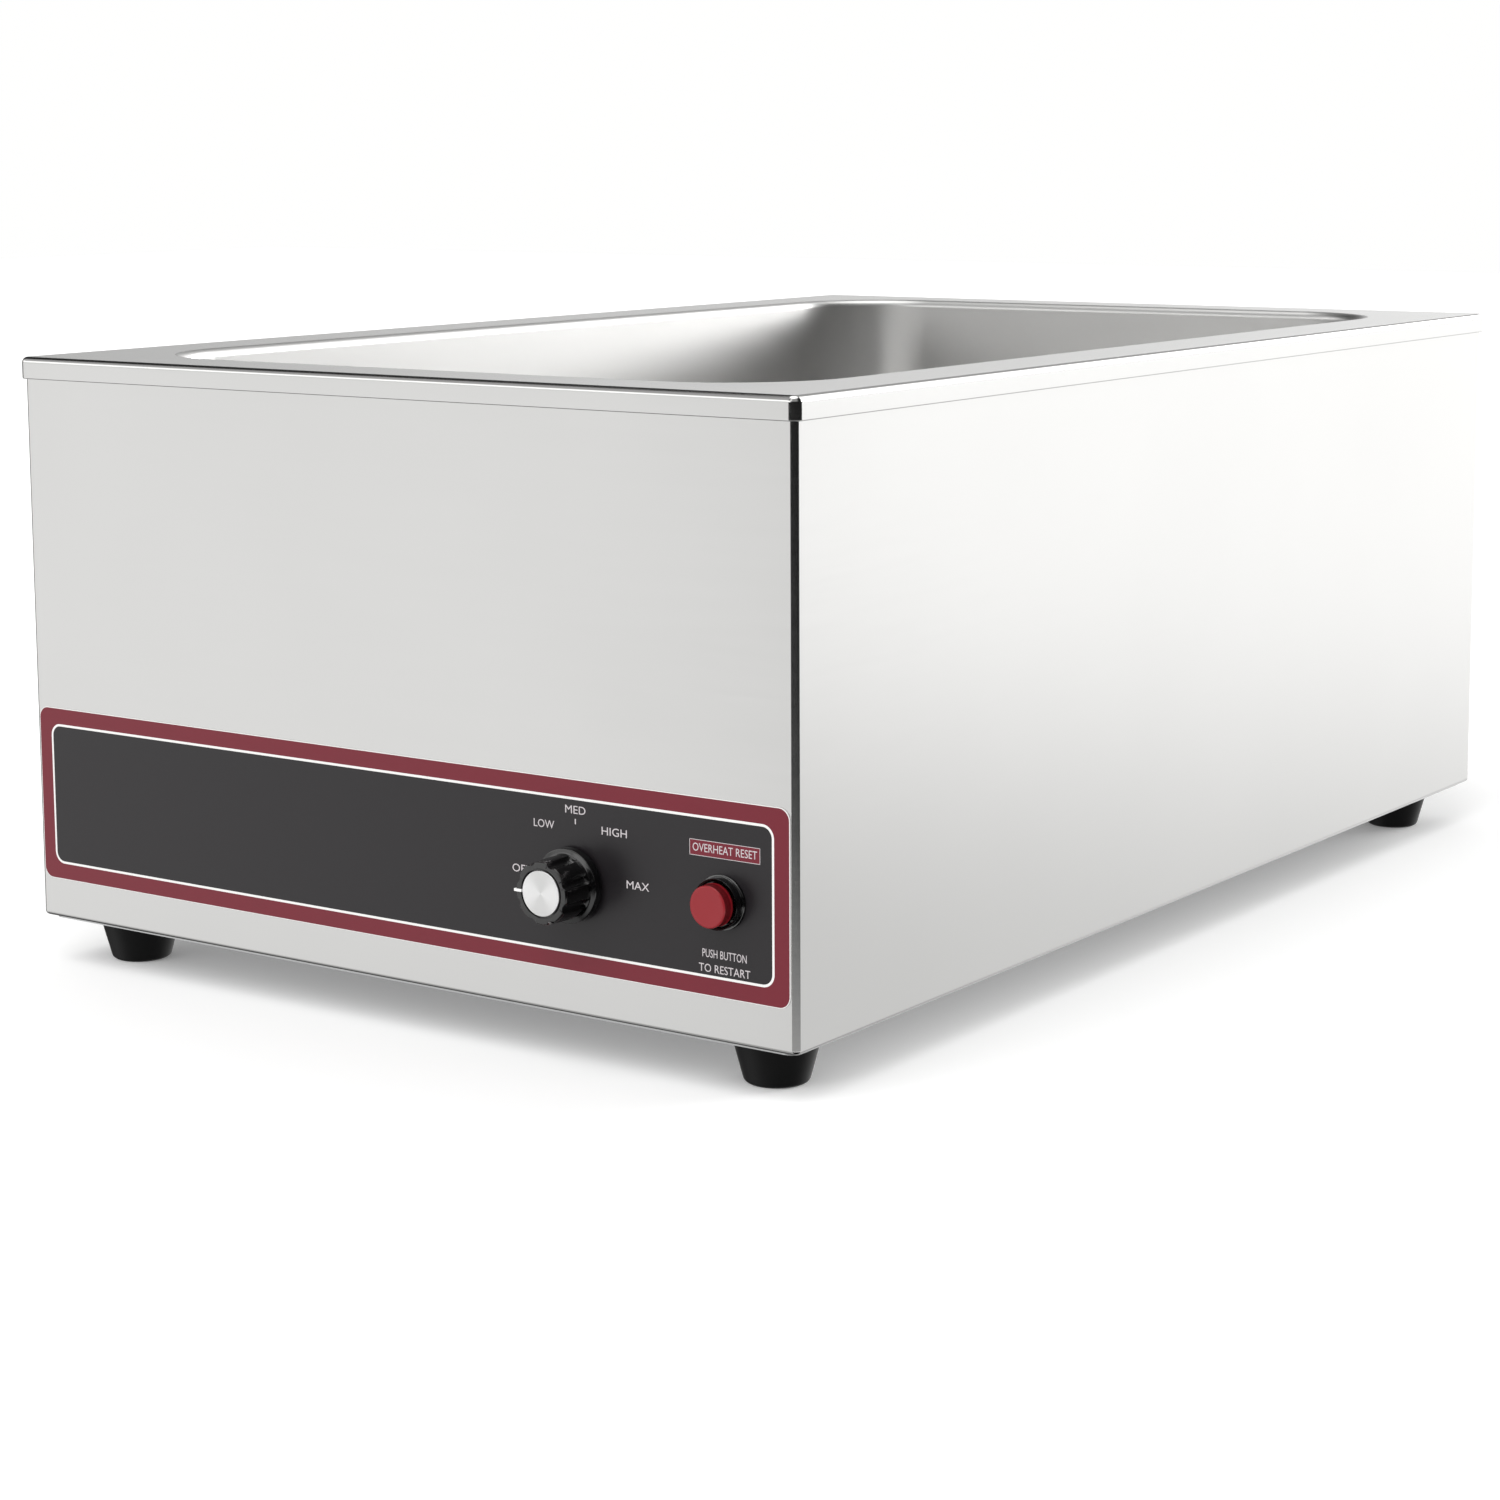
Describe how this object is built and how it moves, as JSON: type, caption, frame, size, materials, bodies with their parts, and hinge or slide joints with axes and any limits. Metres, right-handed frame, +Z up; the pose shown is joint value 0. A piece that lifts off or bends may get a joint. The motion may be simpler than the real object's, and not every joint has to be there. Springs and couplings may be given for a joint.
{
  "type": "steam table food warmer",
  "caption": "Countertop steam table food warmer: an open stainless water well in a box casing on tapered feet, with a front panel that holds a turning thermostat knob and a push button.",
  "frame": {"origin": "middle of the part's footprint, on the surface that the feet stand on", "axes": "+Z up, -Y out of the control panel, +X to the right seen from the front"},
  "size_m": [0.368, 0.6039, 0.242],
  "materials": {
    "satin_steel": "satin stainless sheet",
    "plain_steel": "mill finish sheet",
    "plated_steel": "zinc plated",
    "overlay_print": "printed film, black field with a maroon border and a white line",
    "knob_plastic": "black moulded",
    "spun_aluminium": "spun face",
    "pointer_white": "white filled",
    "button_red": "red moulded",
    "black_plastic": "black moulded",
    "control_metal": "grey",
    "brass": "machined",
    "copper": "drawn copper",
    "element_sheath": "heat darkened sheath",
    "shield_aluminium": "bright",
    "wool_board": "pressed mineral fibre",
    "foot_rubber": "black moulded",
    "block_plastic": "cream moulded",
    "wire_brown": "insulation",
    "wire_blue": "insulation",
    "wire_green": "insulation"
  },
  "bodies": {
    "cabinet": {"casing": "satin_steel", "seam_strip": "plain_steel", "seam_rivets": "plated_steel", "water_pan": "satin_steel", "base_plate": "plain_steel", "base_screws": "plated_steel", "control_overlay": "overlay_print", "thermostat_body": "control_metal", "thermostat_nut": "plated_steel", "thermostat_terminals": "brass", "thermostat_capillary": "copper", "thermostat_bulb": "copper", "reset_bezel": "black_plastic", "reset_nut": "black_plastic", "reset_spring": "plated_steel", "limiter_body": "control_metal", "limiter_terminals": "brass", "limiter_capillary": "copper", "limiter_bulb": "copper", "bulb_clips": "plated_steel", "heating_element": "element_sheath", "element_pins": "plated_steel", "element_clamps": "plated_steel", "pan_studs": "plated_steel", "clamp_nuts": "plated_steel", "shield_spacers": "plated_steel", "heat_shield": "shield_aluminium", "shield_nuts": "plated_steel", "insulation_left": "wool_board", "insulation_right": "wool_board", "insulation_front": "wool_board", "insulation_rear": "wool_board", "foot_front_left": "foot_rubber", "foot_front_right": "foot_rubber", "foot_rear_left": "foot_rubber", "foot_rear_right": "foot_rubber", "foot_screws": "plated_steel", "foot_washers": "plated_steel", "foot_nuts": "plated_steel", "cord_gland": "black_plastic", "gland_nut": "black_plastic", "terminal_block": "block_plastic", "block_screws": "plated_steel", "earth_stud": "brass", "earth_lug": "plated_steel", "earth_nut": "brass", "live_wire": "wire_brown", "link_wire": "wire_brown", "load_wire": "wire_brown", "neutral_wire": "wire_blue", "earth_wire": "wire_green"},
    "knob": {"knob_body": "knob_plastic", "knob_inlay": "spun_aluminium", "knob_pointer": "pointer_white", "knob_grub_screw": "plated_steel", "thermostat_shaft": "brass"},
    "button": {"reset_button": "button_red"}
  },
  "joints": [
    {"name": "knob_turn", "type": "hinge", "parent": "cabinet", "child": "knob", "pos_m": [0.088, -0.2845, 0.0666], "axis": [0, 1, 0], "range_deg": [0, 180]},
    {"name": "button_press", "type": "slide", "parent": "cabinet", "child": "button", "axis": [0, 1, 0], "range_m": [0, 0.0018], "stiffness_N_per_m": 900, "springref_m": -0.001, "deforming": ["reset_spring"]}
  ]
}
